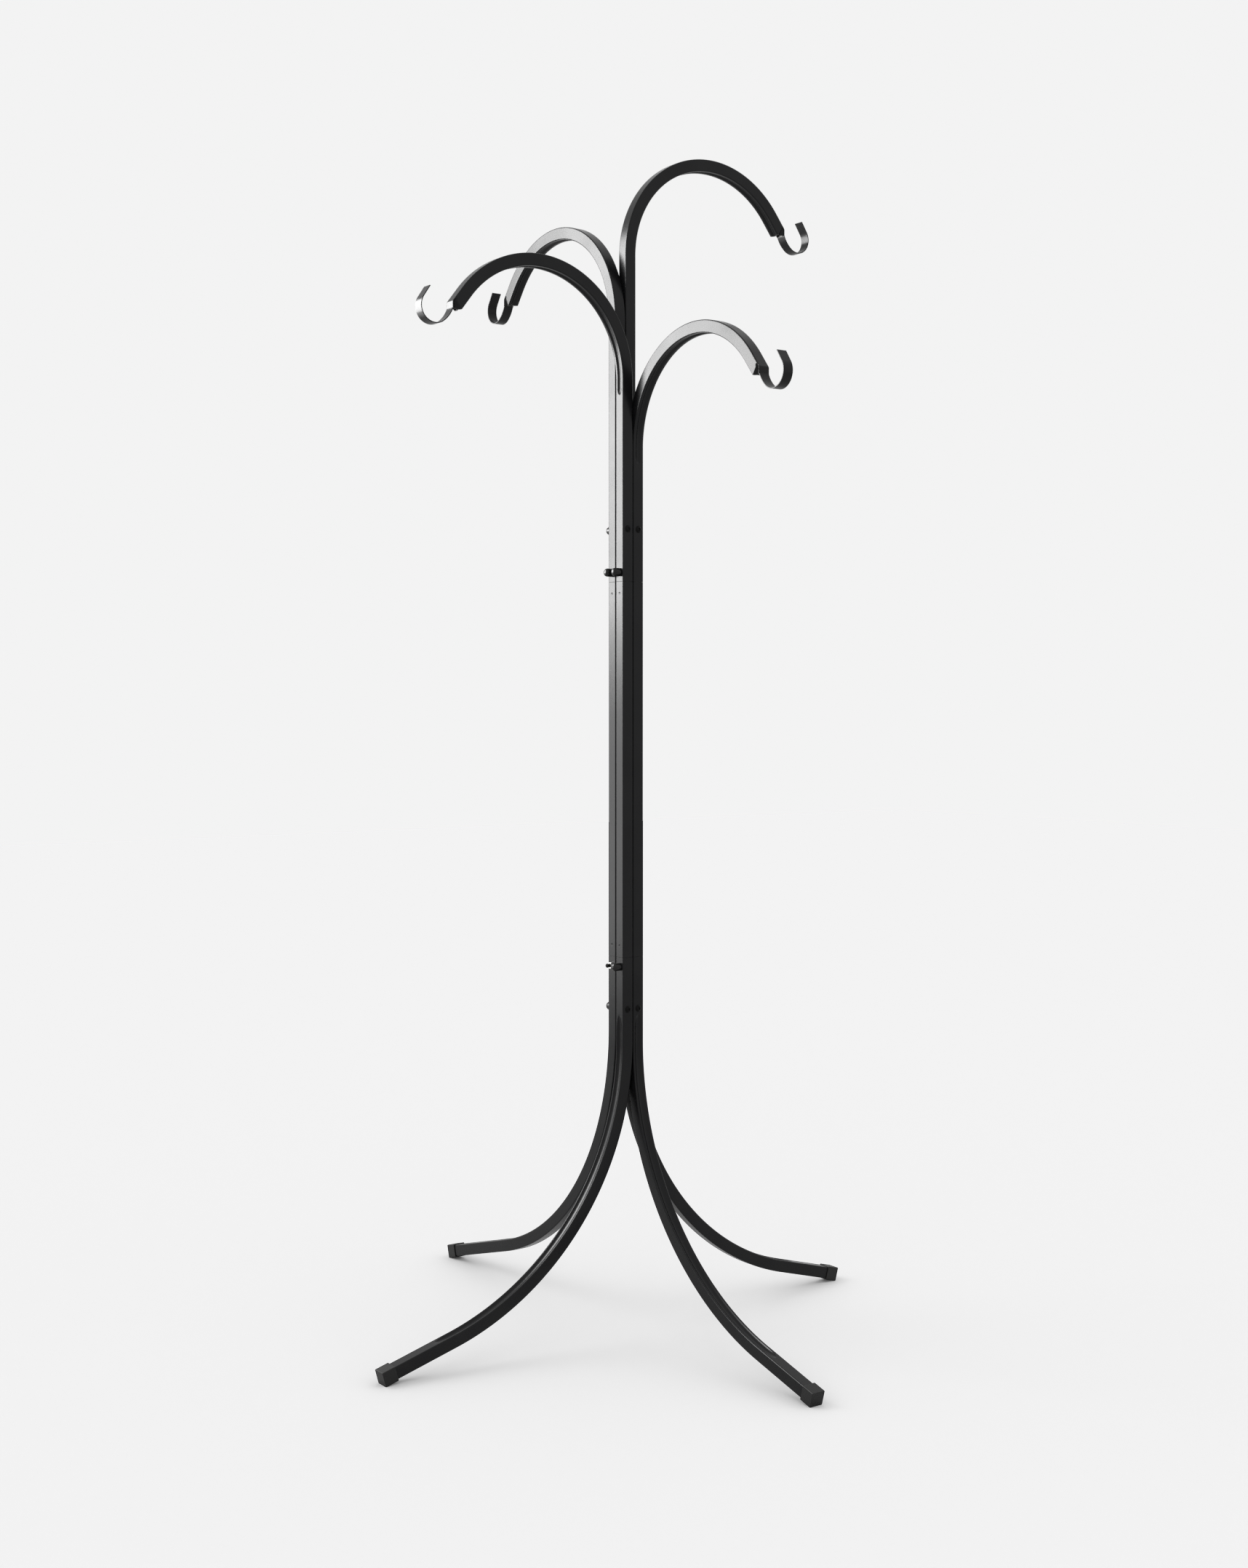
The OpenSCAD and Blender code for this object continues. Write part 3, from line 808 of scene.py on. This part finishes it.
FINISHES = {
    "powder_coat": finish("powder_coat", (0.0055, 0.0055, 0.006), (0.008, 0.008, 0.0085),
                          rough=0.26, spec=0.18, grain=600, bump=0.02),
    # The connectors' steel is darker than plain drawn steel: partly its oily film, and partly painted
    # shade, so that the seams between the tubes, where the connectors show through, stay dark.
    "bare_steel": finish("bare_steel", (0.12, 0.117, 0.11), (0.08, 0.078, 0.074),
                         rough=0.5, spec=0.5, grain=700, bump=0.15, metallic=1.0),
    "zinc_nut": finish("zinc_nut", (0.72, 0.72, 0.7), (0.6, 0.6, 0.58),
                       rough=0.28, spec=0.5, grain=1200, bump=0.12, metallic=1.0),
    "black_fastener": finish("black_fastener", (0.003, 0.003, 0.003), (0.005, 0.005, 0.005),
                             rough=0.32, spec=0.08, grain=1500, bump=0.06),
    "cap_plastic": finish("cap_plastic", (0.005, 0.005, 0.005), (0.008, 0.008, 0.008),
                          rough=0.2, spec=0.25, grain=500, bump=0.03),
    "foot_rubber": finish("foot_rubber", (0.008, 0.008, 0.008), (0.014, 0.014, 0.0135),
                          rough=0.46, spec=0.25, grain=1100, bump=0.15),
}
BORE_STEEL = finish("bore_steel", (0.3, 0.3, 0.29), (0.2, 0.2, 0.19),
                    rough=0.42, spec=0.5, grain=700, bump=0.15, metallic=1.0)

# What a node is made of, by the kind of piece in its name. The coated tubes aren't listed.
SLOTS = {"connector": "bare_steel", "foot_cap": "foot_rubber", "hex_nut": "zinc_nut",
         "nut_cap": "cap_plastic", "bolt": "black_fastener"}


def slot_of(node):
    return next((slot for kind, slot in SLOTS.items() if kind in node), "powder_coat")


def paint(ob, kind):
    ob.data.materials.clear()
    ob.data.materials.append(FINISHES[kind])


for node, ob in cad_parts.items():
    paint(ob, slot_of(node))


# Pieces

def dress(ob, node, bore=()):
    """Puts a finished mesh in a node's place, with bare steel on the faces of its bore."""
    kind = slot_of(node)
    paint(ob, kind)
    if bore:
        ob.data.materials.append(BORE_STEEL)
        for i in bore:
            ob.data.polygons[i].material_index = 1
    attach(ob, "root")
    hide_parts(node)


for side, side_name in enumerate(SIDE_NAMES):
    ob, bore = arm(side)
    dress(ob, f"arm_{side_name}", bore)
    ob, bore = leg(side)
    dress(ob, f"leg_{side_name}", bore)
    dress(post(side), f"post_{side_name}")
    dress(foot_cap(side), f"foot_cap_{side_name}")

BOLTS = [("front_left", on_x, FAR_BOLT, -PITCH), ("right_back", on_x, FAR_BOLT, PITCH),
         ("left_back", on_y, NEAR_BOLT, -PITCH), ("front_right", on_y, NEAR_BOLT, PITCH)]
FASTENERS = [("bolt", bolt), ("hex_nut", hex_nut), ("nut_cap", nut_cap)]

# One nut has no cap in the photo, so the frame has no node for one
for level, seam, way in (("upper", UPPER, 1), ("lower", LOWER, -1)):
    for pair, along, drop, offset in BOLTS:
        place = partial(along, seam + way * drop, offset)
        for kind, make in FASTENERS:
            node = f"{level}_{kind}_{pair}"
            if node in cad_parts:
                dress(make(f"{node}_skin", place), node)


# Floor, world and lamps

FLOOR_HALF = 12
FLOOR_Z = -0.0005
FLOOR_TONE = 0.8
FLOOR_ROUGHNESS = 0.9
WORLD_LIGHT = 0.85
BACKGROUND = 0.896

corners = [(-1, -1), (1, -1), (1, 1), (-1, 1)]
floor_points = [(x * FLOOR_HALF, y * FLOOR_HALF, FLOOR_Z) for x, y in corners]
floor = make_mesh("studio_floor", floor_points, [(0, 1, 2, 3)])
floor_paint, _, bsdf = new_material("studio_floor")
floor_colour = (FLOOR_TONE, FLOOR_TONE, FLOOR_TONE, 1)
set_inputs(bsdf, Base_Color=floor_colour, Roughness=FLOOR_ROUGHNESS, Specular_IOR_Level=0.0)
floor.data.materials.append(floor_paint)
floor.is_shadow_catcher = True


def background(tree, strength):
    node = add(tree, "ShaderNodeBackground")
    set_inputs(node, Color=(1, 1, 1, 1), Strength=strength)
    return node.outputs["Background"]


def either(tree, one, two):
    node = add(tree, "ShaderNodeMath", operation="ADD", use_clamp=True)
    tree.links.new(one, node.inputs[0])
    tree.links.new(two, node.inputs[1])
    return node.outputs["Value"]


def light_world(light, seen):
    """White world that lights at one strength, and is seen, mirrored or not, at another."""
    world = bpy.data.worlds.new("studio")
    bpy.context.scene.world = world
    world.use_nodes = True
    tree = world.node_tree
    tree.nodes.clear()
    ray = add(tree, "ShaderNodeLightPath").outputs
    in_view = either(tree, ray["Is Camera Ray"], ray["Is Glossy Ray"])
    in_view = either(tree, in_view, ray["Is Transmission Ray"])
    pick = add(tree, "ShaderNodeMixShader")
    tree.links.new(in_view, pick.inputs[0])
    tree.links.new(background(tree, light), pick.inputs[1])
    tree.links.new(background(tree, seen), pick.inputs[2])
    tree.links.new(pick.outputs[0], add(tree, "ShaderNodeOutputWorld").inputs["Surface"])


def area_lamp(name, place, target, width, height, radiance):
    data = bpy.data.lights.new(name, "AREA")
    data.shape = "RECTANGLE"
    data.size = width
    data.size_y = height
    data.energy = radiance * math.pi * width * height
    ob = bpy.data.objects.new(name, data)
    ob.location = place
    direction = Vector(target) - Vector(place)
    ob.rotation_euler = direction.to_track_quat("-Z", "Y").to_euler()
    bpy.context.scene.collection.objects.link(ob)
    return ob


light_world(WORLD_LIGHT, BACKGROUND)

# The softbox stands where the sides that face -Y mirror it to the camera. Two lamps show only as that
# reflection, a bright one high up and a dim one low down. A third, in the place of the first, lights the
# object weakly, so that the floor's shadows stay faint.
SOFTBOX_X = -1.36
SOFTBOX_Y = -1.535
SOFTBOX_WIDTH = 1.5
HIGH_LAMP_Z = 2.0
HIGH_LAMP_HEIGHT = 1.6
LOW_LAMP_Z = 0.75
LOW_LAMP_HEIGHT = 0.9
SEEN_RADIANCE = 23
LOW_RADIANCE = 4
LIGHT_RADIANCE = 1.4
MIRROR_AIM_Y = 0.18
STAND_MIDDLE = (0, 0, 1.0)

high_place = (SOFTBOX_X, SOFTBOX_Y, HIGH_LAMP_Z)
high_aim = (0, MIRROR_AIM_Y, HIGH_LAMP_Z)
high_size = (SOFTBOX_WIDTH, HIGH_LAMP_HEIGHT)
low_place = (SOFTBOX_X, SOFTBOX_Y, LOW_LAMP_Z)
low_aim = (0, MIRROR_AIM_Y, LOW_LAMP_Z)
low_size = (SOFTBOX_WIDTH, LOW_LAMP_HEIGHT)

seen_high = area_lamp("softbox_seen", high_place, high_aim, *high_size, SEEN_RADIANCE)
seen_low = area_lamp("softbox_low", low_place, low_aim, *low_size, LOW_RADIANCE)
unseen = area_lamp("softbox_light", high_place, STAND_MIDDLE, *high_size, LIGHT_RADIANCE)
seen_high.visible_diffuse = False
seen_low.visible_diffuse = False
unseen.visible_glossy = False


# Camera, fitted to the photo. AZIMUTH is its way round the pole from -Y, and the tilt is downwards.

AZIMUTH = math.radians(54.2)
TILT = math.radians(-2.17)
DISTANCE = 3.245
OFF_AXIS = 0.003
EYE_HEIGHT = 1.025
FOCAL_PIXELS = 2720
PHOTO_HEIGHT_PIXELS = 2156
SENSOR = 36

cam_data = bpy.data.cameras.new("camera")
cam_data.sensor_width = SENSOR
cam_data.lens = FOCAL_PIXELS / PHOTO_HEIGHT_PIXELS * SENSOR
cam = bpy.data.objects.new("camera", cam_data)
cam.location = (DISTANCE * math.sin(AZIMUTH) - OFF_AXIS * math.cos(AZIMUTH),
                -DISTANCE * math.cos(AZIMUTH) - OFF_AXIS * math.sin(AZIMUTH), EYE_HEIGHT)
look = Vector((-math.sin(AZIMUTH) * math.cos(TILT), math.cos(AZIMUTH) * math.cos(TILT), math.sin(TILT)))
cam.rotation_euler = look.to_track_quat("-Z", "Y").to_euler()
bpy.context.scene.collection.objects.link(cam)
bpy.context.scene.camera = cam
bpy.context.scene.view_settings.view_transform = "Standard"
